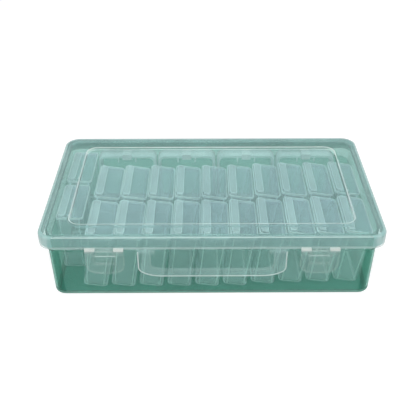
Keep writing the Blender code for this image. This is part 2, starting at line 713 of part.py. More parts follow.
def flip_strip():
    """The raised flip cap on a small box's lid, with a round far end."""
    base = BOX_BODY_HEIGHT + CLEARANCE + BOX_LID_THICKNESS / 2
    near = -BOX_TOP_LENGTH / 2 + FLIP_NEAR_INSET
    far = BOX_TOP_LENGTH / 2 - FLIP_FAR_INSET
    middle_x = -BOX_TOP_WIDTH / 2 + FLIP_SIDE_INSET + FLIP_WIDTH / 2
    shape = block(
        FLIP_WIDTH, far - near, FLIP_HEIGHT + BOX_LID_THICKNESS / 2,
        centre=(middle_x, (near + far) / 2), base=base,
    )
    corners = [
        e for e in shape.edges
        if abs(e.verts[0].co.z - e.verts[1].co.z) > SAME and e.verts[0].co.y > 0.0
    ]
    round_edges(shape, corners, FLIP_WIDTH / 2 - SAME, BOX_CORNER_SEGMENTS + 1)
    return shape


def flip_posts():
    """The two hinge posts at the near end of the flip cap."""
    base = BOX_BODY_HEIGHT + CLEARANCE + BOX_LID_THICKNESS / 2
    middle_x = -BOX_TOP_WIDTH / 2 + FLIP_SIDE_INSET + FLIP_WIDTH / 2
    middle_y = -BOX_TOP_LENGTH / 2 + FLIP_NEAR_INSET - POST_DEPTH / 2 - CLEARANCE
    return gather([
        block(
            POST_WIDTH, POST_DEPTH, POST_HEIGHT + BOX_LID_THICKNESS / 2,
            centre=(middle_x + side * POST_PITCH / 2, middle_y), base=base,
        )
        for side in (-1, 1)
    ])


def place_box(thing, x, y, z, lean):
    thing.location = (x, y, z)
    thing.rotation_euler = (0.0, lean, 0.0)


def evaluated_mesh(thing, name):
    """A piece's mesh with its modifiers applied, for its copies to share."""
    bpy.context.view_layer.update()
    evaluated = thing.evaluated_get(bpy.context.evaluated_depsgraph_get())
    mesh = bpy.data.meshes.new_from_object(evaluated)
    mesh.name = name
    return mesh


def small_box_meshes(finishes, group, tools):
    """The finished body and lid meshes that all 22 small boxes share."""
    body = piece("small box body", box_body_mesh(), finishes["box"], group)
    hollow(body, BOX_WALL)
    lid = piece("small box lid", box_lid_mesh(), finishes["box_lid"], group)
    boolean(lid, tool("flip strip", flip_strip(), tools), "UNION")
    boolean(lid, tool("flip posts", flip_posts(), tools), "UNION")
    meshes = [evaluated_mesh(thing, thing.name.replace(" ", "_")) for thing in (body, lid)]
    for thing in (body, lid):
        bpy.data.objects.remove(thing, do_unlink=True)
    return meshes


def small_boxes(finishes, group, tools):
    """Two rows of leaning boxes, whose right ends stand further back, and two upright ones."""
    meshes = small_box_meshes(finishes, group, tools)
    row_depth = BOX_TOP_LENGTH / 2
    inner_front = TUB_FRONT + TUB_WALL
    front_y = inner_front + FRONT_ROW_SETBACK + row_depth
    rear_y = front_y + BOX_TOP_LENGTH + ROW_GAP
    end_y = inner_front + END_SETBACK + row_depth
    places = []
    for row, y in (("front", front_y), ("rear", rear_y)):
        for index in range(ROW_COUNT):
            name = row + "_box_" + str(index + 1).zfill(2)
            back = ROW_BACK_SHARES[index] * ROW_BACK
            places.append((name, leaning_x(index), y + back, leaning_z(), ROW_LEAN))
    places.append(("end_box_front", end_box_x(), end_y, FLOOR, 0.0))
    places.append(("end_box_rear", end_box_x(), end_y + BOX_TOP_LENGTH + END_GAP, FLOOR, 0.0))
    for name, x, y, z, lean in places:
        for suffix, mesh, finish in zip(("_body", "_lid"), meshes, ("box", "box_lid")):
            place_box(piece(name + suffix, mesh, finishes[finish], group), x, y, z, lean)


def leaning_x(index):
    """Where a leaning box's foot centre is: the last one's top leans towards the right wall."""
    top = BOX_BODY_HEIGHT + CLEARANCE + BOX_LID_THICKNESS
    reach = BOX_TOP_WIDTH / 2 * math.cos(ROW_LEAN) + top * math.sin(ROW_LEAN)
    wall = TUB_TOP_WIDTH / 2 - draft_at(top) - TUB_WALL
    return wall - ROW_WALL_GAP - reach - (ROW_COUNT - 1 - index) * ROW_PITCH


def leaning_z():
    """How high a leaning box's foot centre is, with its lower right foot on the floor."""
    tip = (BOX_BOTTOM_WIDTH / 2 - BOX_FOOT_RADIUS) * math.sin(ROW_LEAN)
    return FLOOR + tip + BOX_FOOT_RADIUS * (1.0 - math.cos(ROW_LEAN))


def end_box_x():
    """The upright boxes stand against the left-hand wall."""
    top = BOX_BODY_HEIGHT + CLEARANCE + BOX_LID_THICKNESS
    wall = TUB_TOP_WIDTH / 2 - draft_at(FLOOR + top) - TUB_WALL - TUB_DRAFT / 2
    return -wall + CLEARANCE + BOX_TOP_WIDTH / 2


def tall_shell(depth):
    """One half of a tall box as an open tray, its face down, its opening at the top."""
    outline = (TALL_WIDTH, TALL_HEIGHT)
    face = (TALL_WIDTH - 2 * TALL_DRAFT, TALL_HEIGHT - 2 * TALL_DRAFT)
    shape = drafted_block(
        outline, face, depth, TALL_CORNER_RADIUS, TALL_FACE_RADIUS, TALL_CORNER_SEGMENTS
    )
    return open_top(shape, depth)


def tall_half(name, depth, turn, parting_y, finish, group):
    """Stands a tray on its edge: turn is +1 for the rear body and -1 for the front lid."""
    shape = tall_shell(depth)
    stand = Matrix.Rotation(math.radians(90.0) * turn, 4, "X")
    bmesh.ops.translate(shape, vec=(0.0, 0.0, -depth), verts=shape.verts)
    bmesh.ops.transform(shape, matrix=stand, verts=shape.verts)
    bmesh.ops.translate(shape, vec=(0.0, parting_y, TALL_HEIGHT / 2), verts=shape.verts)
    thing = piece(name, mesh_from(shape, name), finish, group)
    hollow(thing, TALL_WALL)
    return thing


def tall_box_meshes(finishes, group, tools):
    """The finished body and lid meshes that the tall boxes share, their origin at the foot."""
    body = tall_half("tall box body", TALL_BODY_DEPTH, 1, 0.0, finishes["tall"], group)
    lid = tall_half("tall box lid", TALL_LID_DEPTH, -1, -CLEARANCE, finishes["tall_lid"], group)
    front = -CLEARANCE - TALL_LID_DEPTH - SNAP_PROUD
    into_wall = SNAP_PROUD + TALL_WALL / 2
    tab = block(
        SNAP_WIDTH, SNAP_REACH - front, SNAP_HEIGHT,
        centre=(0.0, (SNAP_REACH + front) / 2), base=TALL_HEIGHT + CLEARANCE,
    )
    root = block(
        SNAP_WIDTH, into_wall, SNAP_DROP + CLEARANCE + SNAP_HEIGHT / 2,
        centre=(0.0, front + into_wall / 2), base=TALL_HEIGHT - SNAP_DROP,
    )
    boolean(lid, tool("snap root", root, tools), "UNION")
    boolean(lid, tool("snap tab", tab, tools), "UNION")
    rails = on_both_sides(snap_rail, RAIL_PITCH / 2)
    boolean(lid, tool("snap rails", rails, tools), "UNION")
    meshes = [evaluated_mesh(thing, thing.name.replace(" ", "_")) for thing in (body, lid)]
    for thing in (body, lid):
        bpy.data.objects.remove(thing, do_unlink=True)
    return meshes


def snap_rail(x):
    """One of the two short rails beside the snap tab, on the lid's front face."""
    face = -CLEARANCE - TALL_LID_DEPTH
    return block(
        RAIL_WIDTH, RAIL_PROUD + TALL_WALL / 2, RAIL_HEIGHT,
        centre=(x, face + (TALL_WALL / 2 - RAIL_PROUD) / 2),
        base=TALL_HEIGHT - RAIL_BELOW_TOP - RAIL_HEIGHT,
    )


def tall_boxes(finishes, group, tools):
    """Four snap boxes on edge along the rear wall."""
    meshes = tall_box_meshes(finishes, group, tools)
    left = end_box_x() + BOX_TOP_WIDTH / 2 + TALL_END_GAP
    y = TUB_REAR - TUB_WALL - TUB_DRAFT - TALL_REAR_GAP - TALL_BODY_DEPTH
    for index in range(TALL_COUNT):
        x = left + TALL_WIDTH / 2 + index * TALL_PITCH
        name = "tall_box_" + str(index + 1)
        for suffix, mesh, finish in zip(("_body", "_lid"), meshes, ("tall", "tall_lid")):
            place_box(piece(name + suffix, mesh, finishes[finish], group), x, y, FLOOR, 0.0)


def main():
    remove_scene_objects()
    parts = new_collection("organizer_box")
    tools = new_collection("cutters")
    finishes = {
        "tub": plastic("tub_plastic", (0.16, 0.42, 0.36), 0.16, 0.55),
        "lid": plastic("lid_plastic", (0.30, 0.55, 0.50), 0.14, 0.45),
        "handle": plastic("handle_plastic", (0.60, 0.72, 0.70), 0.20, 0.50),
        "latch": plastic("latch_plastic", (0.62, 0.74, 0.72), 0.20, 0.50),
        "pin": plastic("pin_plastic", (0.70, 0.78, 0.76), 0.25, 0.70),
        "box": plastic("box_plastic", (0.66, 0.76, 0.78), 0.20, 0.35),
        "box_lid": plastic("box_lid_plastic", (0.72, 0.80, 0.81), 0.24, 0.45),
        "tall": plastic("tall_box_plastic", (0.66, 0.76, 0.78), 0.20, 0.35),
        "tall_lid": plastic("tall_box_lid_plastic", (0.72, 0.80, 0.81), 0.22, 0.40),
    }
    tub(finishes["tub"], parts, tools)
    lid = case_lid(finishes["lid"], parts, tools)
    hinge_pin("hinge_pin_left", -1, finishes["pin"], parts, tools)
    hinge_pin("hinge_pin_right", 1, finishes["pin"], parts, tools)
    latch("latch_left", -1, lid, finishes["latch"], parts, tools)
    latch("latch_right", 1, lid, finishes["latch"], parts, tools)
    carry_handle(finishes["handle"], parts, tools)
    small_boxes(finishes, parts, tools)
    tall_boxes(finishes, parts, tools)


main()
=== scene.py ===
"""Compartment organizer box, dressed over its CAD frame.

Metres, +Z up, the origin at the centre of the case's underside, the latches on the -Y side.
"""
import json

import bpy
import numpy as np
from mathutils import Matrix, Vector

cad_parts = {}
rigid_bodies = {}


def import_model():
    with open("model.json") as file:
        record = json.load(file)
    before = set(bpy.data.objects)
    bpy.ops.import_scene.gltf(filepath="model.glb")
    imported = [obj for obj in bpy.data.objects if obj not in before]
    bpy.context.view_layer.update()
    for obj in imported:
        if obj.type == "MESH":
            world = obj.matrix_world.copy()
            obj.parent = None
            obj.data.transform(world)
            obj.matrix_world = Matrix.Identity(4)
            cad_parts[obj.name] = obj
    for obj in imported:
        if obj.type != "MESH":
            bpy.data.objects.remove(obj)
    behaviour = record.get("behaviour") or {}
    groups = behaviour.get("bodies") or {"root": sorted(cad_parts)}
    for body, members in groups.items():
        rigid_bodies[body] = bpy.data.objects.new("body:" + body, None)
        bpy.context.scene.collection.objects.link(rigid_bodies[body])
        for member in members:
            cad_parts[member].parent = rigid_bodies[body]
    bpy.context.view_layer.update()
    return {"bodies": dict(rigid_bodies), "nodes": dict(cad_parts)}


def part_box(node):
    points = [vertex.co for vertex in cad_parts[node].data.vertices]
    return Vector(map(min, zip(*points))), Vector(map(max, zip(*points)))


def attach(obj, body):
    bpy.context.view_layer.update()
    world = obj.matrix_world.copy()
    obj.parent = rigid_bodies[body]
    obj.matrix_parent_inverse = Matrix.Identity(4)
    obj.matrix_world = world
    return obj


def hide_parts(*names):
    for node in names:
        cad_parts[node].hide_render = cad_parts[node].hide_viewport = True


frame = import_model()

# Case
CASE_WIDTH, CASE_DEPTH, CASE_HEIGHT = 0.300, 0.175, 0.0685
LID_WALL, LID_SKIRT, LID_CORNER = 0.0016, 0.0127, 0.0130
RECESS_WIDTH, RECESS_DEPTH, RECESS_DROP, RECESS_CORNER = 0.251, 0.134, 0.0025, 0.0100
TUB_WIDTH, TUB_DEPTH, TUB_TOP = 0.2888, 0.1638, 0.0666
TUB_WALL, TUB_DRAFT, TUB_CORNER = 0.0016, 0.0014, 0.0110
BEAD_TOP, BEAD_HEIGHT, BEAD_PROUD = 0.0500, 0.0014, 0.0010

# The axes of the latches, the handle and the rear hinge. Each pair stands at plus and minus X.
LATCH_X, LATCH_Y, LATCH_Z = 0.0925, -0.0896, 0.0558
HANDLE_Y, HANDLE_Z = -0.0854, 0.0525
HINGE_X, HINGE_Y, HINGE_Z, KNUCKLE_RADIUS = 0.0900, 0.0880, 0.0527, 0.0026

# Small boxes and tall boxes
BOX_TOP, BOX_FOOT = (0.0248, 0.0563), (0.0220, 0.0551)
BOX_HEIGHT, BOX_WALL, BOX_CORNER = 0.0538, 0.0011, 0.0038
CAP_BASE, CAP_THICKNESS = 0.0541, 0.0014
TALL_WIDTH, TALL_HEIGHT, TALL_WALL, TALL_CORNER = 0.0602, 0.0590, 0.0012, 0.0075
LEAN = np.radians(8.0)


# Shapes

def rounded_rings(rows, steps=8):
    """Stacked rounded rectangles, one for each row of (width, depth, corner radius, height). A
    corner is its centre plus the radius times the cosine and sine of an angle over 90 degrees."""
    width, depth, radius, height = np.asarray(rows, float).T[:, :, None]
    quarter = np.arange(4)[:, None]
    angle = ((quarter + np.linspace(0.0, 1.0, steps + 1)) * np.pi / 2).ravel()
    side_x = np.repeat([1.0, -1.0, -1.0, 1.0], steps + 1)
    side_y = np.repeat([1.0, 1.0, -1.0, -1.0], steps + 1)
    x = side_x * (width / 2 - radius) + radius * np.cos(angle)
    y = side_y * (depth / 2 - radius) + radius * np.sin(angle)
    return np.stack([x, y, height + 0.0 * x], axis=-1)


def soften(rows, cuts, steps):
    """Rounds each inner corner of a section. The corner point B becomes the quadratic curve
    (1-t)^2 A + 2t(1-t) B + t^2 C, with A and C the cut's length before and after B."""
    rows = np.asarray(rows, float)
    cuts = np.broadcast_to(cuts, len(rows) - 2)[:, None]
    before, here, after = rows[:-2], rows[1:-1], rows[2:]

    def towards(other):
        step = other - here
        length = np.hypot(step[:, 0] / 2, step[:, 3])[:, None]
        return here + step * np.minimum(cuts / length, 0.49)

    t = np.linspace(0.0, 1.0, steps + 1)[None, :, None]
    start, end = towards(before)[:, None], towards(after)[:, None]
    curve = (1 - t) ** 2 * start + 2 * t * (1 - t) * here[:, None] + t ** 2 * end
    return np.concatenate([rows[:1], curve.reshape(-1, 4), rows[-1:]])


def bands_of(corners, steps, *spans):
    """The finish number of each band of a softened section: 0 but on the spans given, each as
    (number, first corner, last corner) with all that lies between those two corners."""
    numbers = np.zeros(corners * (steps + 1) + 1, int)
    for number, first, last in spans:
        numbers[1 + first * (steps + 1):1 + last * (steps + 1) + steps] = number
    return numbers


def off_front(numbers, around, swaps):
    """Finish numbers for each quad of a shell: those of its bands, changed by swaps of (the
    front's finish, the one for the corners, the sides and the rear). The front is the side
    before the last corner."""
    numbers = np.repeat(np.asarray(numbers)[:, None], 4 * (around + 1), axis=1)
    front = np.arange(4 * (around + 1)) == 3 * (around + 1) - 1
    for here, elsewhere in swaps:
        numbers[(numbers == here) & ~front[None, :]] = elsewhere
    return numbers


def skin(rings, endless=False, numbers=0, ends=0):
    """The surface over a stack of rings: a quad between each two neighbours in both directions,
    and a flat cap on the first and last ring unless the stack is endless. numbers gives the
    finish of each quad, as one value, one for each band or one for each quad, and ends that of
    the two caps."""
    count, around = rings.shape[:2]
    index = np.arange(count * around).reshape(count, around)
    low = index if endless else index[:-1]
    high = np.roll(index, -1, axis=0) if endless else index[1:]
    quads = np.stack([low, np.roll(low, -1, 1), np.roll(high, -1, 1), high], axis=-1)
    faces = quads.reshape(-1, 4).tolist()
    numbers = np.asarray(numbers, int)
    numbers = numbers[:, None] if numbers.ndim == 1 else numbers
    numbers = np.broadcast_to(numbers, low.shape).ravel()
    if not endless:
        faces += [index[0, ::-1].tolist(), index[-1].tolist()]
        numbers = np.concatenate([numbers, [ends, ends]])
    return rings.reshape(-1, 3), faces, numbers


def moved(shell, shift=(0.0, 0.0, 0.0), lean=0.0, stand=0):
    """A shell turned about X by stand quarter turns, leant about Y, then shifted."""
    points, faces, numbers = shell
    x, y, z = points.T
    y, z = (y, z) if stand == 0 else (-stand * z, stand * y)
    x, z = x * np.cos(lean) + z * np.sin(lean), z * np.cos(lean) - x * np.sin(lean)
    return np.stack([x, y, z], axis=1) + np.asarray(shift), faces, numbers


def soft_block(size, centre, edge):
    """A block whose twelve edges are rounded, those of its foot and top in the edge finish, a
    painted highlight.
    """
    width, depth, height = size
    radius = min(edge, 0.45 * min(width, depth))
    flat = (width - 2 * edge, depth - 2 * edge, radius * 0.2)
    full = (width, depth, radius)
    rows = [(*flat, 0.0), (*full, 0.0), (*full, height), (*flat, height)]
    steps = 3
    bands = bands_of(2, steps, (1, 0, 0), (1, 1, 1))
    shell = skin(rounded_rings(soften(rows, edge, steps), steps), numbers=bands)
    return moved(shell, np.asarray(centre) - (0.0, 0.0, height / 2))


def rod(radius, length, centre, edge=0.0002):
    """A round bar along X with chamfered ends: circles of radius r at distances x."""
    sides = 28
    angle = np.linspace(0.0, 2 * np.pi, sides, endpoint=False)
    r = np.array([radius - edge, radius, radius, radius - edge])[:, None]
    x = np.array([-length / 2, edge - length / 2, length / 2 - edge, length / 2])[:, None]
    rings = np.stack([x + 0.0 * angle, r * np.cos(angle), r * np.sin(angle)], axis=-1)
    return moved(skin(rings), centre)


def strap(inner, outer, thickness, radius, endless, one_rim=False):
    """A flat band between two lines in X and Z. Its section is a rounded rectangle: a corner is
    its centre plus the radius times the cosine and sine of an angle over 90 degrees. All of it
    but the two broad faces takes the edge finish, a painted highlight. With one_rim only the two
    front corners do: the one at the first line takes the first edge finish, and the other takes
    the second."""
    steps = 4
    around = steps + 1
    angle = ((np.arange(4)[:, None] + np.linspace(0.0, 1.0, around)) * np.pi / 2).ravel()
    side_u, side_y = np.repeat([[1, -1, -1, 1], [1, 1, -1, -1]], around, axis=1)
    middle, half = (outer + inner)[:, None] / 2, (outer - inner)[:, None] / 2
    width = np.linalg.norm(half, axis=-1)
    across = side_u * (width - radius) + radius * np.cos(angle)
    y = side_y * (thickness / 2 - radius) + radius * np.sin(angle)
    flat = middle + half / width[..., None] * across[..., None]
    rings = np.stack([flat[..., 0], y + 0.0 * across, flat[..., 1]], axis=-1)
    rim = np.ones(4 * around, int)
    rim[[steps, 2 * around + steps]] = 0
    if one_rim:
        rim[:] = 0
        rim[2 * around:2 * around + steps] = 1
        rim[3 * around:3 * around + steps] = 2
    bands = len(rings) if endless else len(rings) - 1
    return skin(rings, endless, np.tile(rim, (bands, 1)))


def show(name, shells, body, finishes, stands_for=()):
    """One piece made of closed shells, smooth but for edges of over 50 degrees. The finishes are
    its plastic, then those of its edges. The tinted shells of the tub and lid cast no shadow, so
    that the lamps light the boxes inside."""
    points, faces, start = [], [], 0
    for shell_points, shell_faces, _ in shells:
        points.append(shell_points)
        faces += [[corner + start for corner in face] for face in shell_faces]
        start += len(shell_points)
    numbers = np.concatenate([shell_numbers for _, _, shell_numbers in shells])
    numbers = numbers.clip(0, len(finishes) - 1).astype(np.int32)
    mesh = bpy.data.meshes.new(name)
    mesh.from_pydata(np.concatenate(points).tolist(), [], faces)
    mesh.shade_smooth()
    mesh.set_sharp_from_angle(angle=np.radians(50.0))
    for finish in finishes:
        mesh.materials.append(finish)
    mesh.polygons.foreach_set("material_index", numbers)
    piece = bpy.data.objects.new(name, mesh)
    piece.visible_shadow = finishes[0] not in (TUB_PLASTIC, LID_PLASTIC)
    bpy.context.scene.collection.objects.link(piece)
    even = piece.modifiers.new("even shading", "WEIGHTED_NORMAL")
    even.keep_sharp = True
    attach(piece, body)
    if stands_for:
        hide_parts(*stands_for)


# Finishes

def moulded_plastic(name, tint, roughness):
    """Smooth moulded plastic. The tint, the roughness and a faint ripple of the surface vary
    with noise in Object coordinates. Returns the material and its shader."""
    grain, ripple, ripple_height = 0.08, 0.03, 0.001
    finish = bpy.data.materials.new(name)
    finish.use_nodes = True
    tree = finish.node_tree
    link = tree.links.new
    shader = tree.nodes["Principled BSDF"]
    shader.inputs["Metallic"].default_value = 0.0
    place = tree.nodes.new("ShaderNodeTexCoord")

    def noise(scale, detail):
        node = tree.nodes.new("ShaderNodeTexNoise")
        node.inputs["Scale"].default_value = scale
        node.inputs["Detail"].default_value = detail
        link(place.outputs["Object"], node.inputs["Vector"])
        return node.outputs["Fac"]

    cloud, speck = noise(scale=22.0, detail=3.0), noise(scale=260.0, detail=4.0)
    colour = tree.nodes.new("ShaderNodeValToRGB")
    low, high = colour.color_ramp.elements
    low.position, high.position = 0.30, 0.70
    low.color = (*[share * (1 - grain / 2) for share in tint], 1.0)
    high.color = (*[min(1.0, share * (1 + grain / 2)) for share in tint], 1.0)
    link(cloud, colour.inputs["Fac"])
    link(colour.outputs["Color"], shader.inputs["Base Color"])
    gloss = tree.nodes.new("ShaderNodeMapRange")
    gloss.inputs["To Min"].default_value = roughness * 0.7
    gloss.inputs["To Max"].default_value = roughness * 1.5
    link(speck, gloss.inputs["Value"])
    link(gloss.outputs["Result"], shader.inputs["Roughness"])
    bump = tree.nodes.new("ShaderNodeBump")
    bump.inputs["Strength"].default_value = ripple
    bump.inputs["Distance"].default_value = ripple_height
    link(cloud, bump.inputs["Height"])
    link(bump.outputs["Normal"], shader.inputs["Normal"])
    return finish, shader


def tinted_plastic(name, tint, clear, roughness):
    """Plastic that tints what is seen through it. clear is the share of light that passes."""
    finish, shader = moulded_plastic(name, tint, roughness)
    shader.inputs["IOR"].default_value = 1.2
    shader.inputs["Transmission Weight"].default_value = clear
    return finish


def hazy_plastic(name, tint, cover):
    """Thin clear plastic whose faint haze covers a share of what is behind it."""
    finish, shader = moulded_plastic(name, tint, roughness=0.2)
    shader.inputs["IOR"].default_value = 1.49
    shader.inputs["Alpha"].default_value = cover
    return finish


TUB_PLASTIC = tinted_plastic("teal tub plastic", (0.48, 0.67, 0.62), 0.95, 0.04)
# Painted shade: the tub's floor and underside take a deep teal that stands for the shadowed table
# under the case, seen through them.
TUB_BASE_PAINTED_SHADE = tinted_plastic("tub floor and underside with painted shade", (0.115, 0.345, 0.285), 0.96, 0.05)
LID_PLASTIC = tinted_plastic("pale teal lid plastic", (0.55, 0.71, 0.70), 0.95, 0.03)
SKIRT_PLASTIC = hazy_plastic("teal lid skirt plastic", (0.34, 0.57, 0.56), 0.28)
# Painted shade: the lid skirt's sides and rear are deeper and denser than its front.
LID_SIDE_PAINTED_SHADE = hazy_plastic("lid skirt sides and rear with painted shade", (0.35, 0.61, 0.59), 0.58)
# Painted shade: the tub's sides and rear take a deeper tint than its front.
TUB_SIDE_PAINTED_SHADE = tinted_plastic("tub sides and rear with painted shade", (0.25, 0.50, 0.43), 0.95, 0.04)
STEP_PLASTIC = hazy_plastic("clear lid step plastic", (0.55, 0.75, 0.74), 0.08)
FITTING_PLASTIC = hazy_plastic("pale teal fitting plastic", (0.50, 0.74, 0.68), 0.16)
# Painted highlight: a pale line round the sunk panel's edge, and one on the lid's front edge.
CASE_EDGE_HIGHLIGHT = hazy_plastic("case edge with painted highlight", (0.82, 0.94, 0.92), 0.56)
# Painted highlight: a pale band along the lid skirt's lower edge, the tub's rim and the catch
# noses' edges.
RIM_HIGHLIGHT = hazy_plastic("rim with painted highlight", (0.66, 0.82, 0.80), 0.32)
# Painted shade: a dark band along the tub's foot that stands for the contact shadow seen through
# the wall.
TUB_FOOT_PAINTED_SHADE = hazy_plastic("tub foot edge with painted shade", (0.10, 0.34, 0.27), 0.80)
EAR_PLASTIC = hazy_plastic("clear latch ear plastic", (0.84, 0.93, 0.91), 0.14)
# Painted highlight: a white bar inside each latch ear.
EAR_BAR_HIGHLIGHT = hazy_plastic("latch ear bar, painted highlight", (0.93, 0.96, 0.93), 0.55)
HANDLE_PLASTIC = hazy_plastic("clear handle plastic", (0.68, 0.92, 0.93), 0.10)
# Painted highlight: pale lines along the handle's front edges.
HANDLE_EDGE_HIGHLIGHT = hazy_plastic("handle edge with painted highlight", (0.90, 0.98, 0.97), 0.55)
LATCH_PLASTIC = hazy_plastic("clear latch plastic", (0.78, 0.92, 0.90), 0.04)
# Painted highlight: pale lines along the edges of the latches, their ridges and the handle's
# inner front edge.
LATCH_EDGE_HIGHLIGHT = hazy_plastic("latch edge with painted highlight", (0.82, 0.93, 0.91), 0.18)
PIN_PLASTIC = hazy_plastic("pale pin plastic", (0.70, 0.84, 0.80), 0.35)
BOX_PLASTIC = hazy_plastic("clear box plastic", (0.90, 0.93, 0.98), 0.15)
# Painted highlight: pale lines on the small boxes' rims, feet and corners.
BOX_EDGE_HIGHLIGHT = hazy_plastic("box edge with painted highlight", (0.92, 0.97, 1.0), 0.60)
CAP_PLASTIC = hazy_plastic("clear box lid plastic", (0.84, 0.88, 1.0), 0.16)
# Painted highlight: pale lines round the box lids' flange and raised border.
CAP_EDGE_HIGHLIGHT = hazy_plastic("box lid edge with painted highlight", (0.96, 0.98, 1.0), 0.66)
STRIP_PLASTIC = hazy_plastic("hazy flip strip plastic", (0.95, 0.97, 1.0), 0.34)
# Painted highlight on the flip strips' edges. The tall boxes' clasps take this pale finish all
# over.
STRIP_HIGHLIGHT_AND_CLASP = hazy_plastic("flip strip highlight and clasp", (0.97, 0.99, 1.0), 0.60)
TALL_PLASTIC = hazy_plastic("clear tall box plastic", (0.80, 0.90, 0.95), 0.03)
# Painted highlight: pale lines along the tall boxes' sides and rims.
TALL_EDGE_HIGHLIGHT = hazy_plastic("tall box edge with painted highlight", (0.94, 0.98, 1.0), 0.52)
TALL_BORDER = hazy_plastic("hazy tall box border", (0.94, 0.98, 1.0), 0.55)


# Case

def cup(top, foot, height, wall, corner, foot_cut, lip=0.0003, bead=None,
        spans=(), ends=0, border=0, swaps=(), highlight_uprights=False):
    """An open moulded cup: its section runs from the underside's middle up the outer wall, over
    the rim and down the inner wall to the floor. top and foot are (width, depth), and bead is
    (its top, its thickness, how far it stands out). The rim takes the first edge finish, a
    painted highlight, and so do two thin lines up each corner if the uprights flag is set. spans
    are those of bands_of, and swaps those of off_front. ends is the finish of the floor and the
    underside, and border that of the underside's outer ring."""
    def outline(at, inset):
        share = at / height
        width = foot[0] + (top[0] - foot[0]) * share - 2 * inset
        depth = foot[1] + (top[1] - foot[1]) * share - 2 * inset
        return (width, depth, max(corner - inset, corner * 0.15), at)

    flat, crisp, soft = foot_cut * 2.5, 0.0001, 0.0005
    rows = [outline(0.0, flat), outline(0.0, 0.0)]
    cuts = [foot_cut]
    if bead:
        at, tall, proud = bead
        rows += [outline(at - tall, 0.0), outline(at - tall * 0.9, -proud)]
        rows += [outline(at - tall * 0.1, -proud), outline(at, 0.0)]
        cuts += [crisp, soft, soft, crisp]
    rim = (1, len(cuts), len(cuts) + 1)
    rows += [outline(height, 0.0), outline(height, wall)]
    cuts += [lip, lip]
    if bead:
        rows.append(outline(at, wall))
        cuts.append(crisp)
    rows += [outline(wall, wall), outline(wall, wall + flat)]
    cuts.append(foot_cut)
    steps, around = 4, 8
    bands = bands_of(len(cuts), steps, *spans, rim)
    bands[0], bands[-1] = border or ends, ends
    numbers = off_front(bands, around, swaps)
    # Painted highlight: two thin lines up each corner.
    if highlight_uprights:
        column = np.arange(4 * (around + 1)) % (around + 1)
        numbers = np.maximum(numbers, np.isin(column, (0, around - 1)))
    return skin(rounded_rings(soften(rows, cuts, steps), around), numbers=numbers, ends=ends)


def build_tub():
    """The tub with its stop bead. Blocks and rods make the catch noses behind the latches, the
    ears of the handle, and the outer knuckles of the rear hinge with their webs."""
    foot = (TUB_WIDTH - 2 * TUB_DRAFT, TUB_DEPTH - 2 * TUB_DRAFT)
    # The foot's rounded edge takes a painted shade.
    foot_shade_span, above_bead = (2, 0, 0), (5, 4, 7)
    shell = cup(
        (TUB_WIDTH, TUB_DEPTH), foot, TUB_TOP, TUB_WALL, TUB_CORNER, foot_cut=0.0020,
        # Painted shade: ends=3 tints the floor and underside deep, and border=2 gives the
        # underside's outer ring the foot's dark band.
        lip=0.0005, bead=(BEAD_TOP, BEAD_HEIGHT, BEAD_PROUD), ends=3, border=2,
        # Painted shade: swaps=[(0, 4)] gives the wall's sides and rear a deeper tint than its
        # front. Above the bead the wall keeps the paler tint all round.
        spans=[foot_shade_span, above_bead], swaps=[(0, 4)],
    )
    # The tub's rim takes a painted highlight.
    finishes = [TUB_PLASTIC, RIM_HIGHLIGHT, TUB_FOOT_PAINTED_SHADE, TUB_BASE_PAINTED_SHADE, TUB_SIDE_PAINTED_SHADE, TUB_PLASTIC]
    show("tub_shell", [shell], "tub", finishes, ["tub"])
    nose, ear = (0.0172, 0.0064, 0.0058), (0.0035, 0.0072, 0.0048)
    knuckle_length, web = 0.0080, (0.0080, 0.0060, 0.0034)
    fittings, noses = [], []
    for side in (-1, 1):
        noses.append(soft_block(nose, (side * LATCH_X, -0.0846, 0.0462), 0.0006))
        fittings.append(soft_block(ear, (side * 0.05105, -0.0840, HANDLE_Z), 0.0006))
        for end in (-1, 1):
            x = side * HINGE_X + end * 0.0110
            fittings.append(rod(KNUCKLE_RADIUS, knuckle_length, (x, HINGE_Y, HINGE_Z)))
            fittings.append(soft_block(web, (x, 0.0840, HINGE_Z), 0.0005))
    show("tub_fittings", fittings, "tub", [FITTING_PLASTIC])
    # The noses' foot and top edges take a painted highlight.
    show("catch_noses", noses, "tub", [FITTING_PLASTIC, RIM_HIGHLIGHT])


